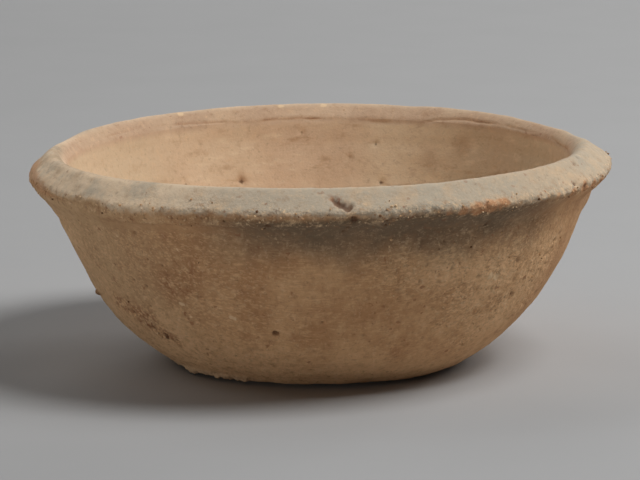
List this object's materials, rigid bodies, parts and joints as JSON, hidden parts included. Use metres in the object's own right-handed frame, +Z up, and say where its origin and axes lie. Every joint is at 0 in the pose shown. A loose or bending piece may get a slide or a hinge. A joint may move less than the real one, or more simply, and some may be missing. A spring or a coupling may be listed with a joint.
{
  "type": "bowl",
  "caption": "Low round earthenware bowl with a flat base, a curved wall and a thick, outward bevelled rim, open at the top, for holding food or loose goods.",
  "frame": {"origin": "on the table, under the middle of the rim", "axes": "+Z up out of the mouth, -Y towards the front of the picture, +X to the right, where the rim is highest"},
  "size_m": [0.14, 0.14, 0.0523],
  "materials": {
    "body_clay": "unglazed, matt, coarse and pitted, light brown with a smoky patch under the rim",
    "rim_clay": "unglazed, matt, pale buff-grey skin over brown clay, granular at its lower edge"
  },
  "bodies": {
    "root": {"floor_disc": "body_clay", "wall": "body_clay", "rim_coil": "rim_clay"}
  },
  "joints": []
}
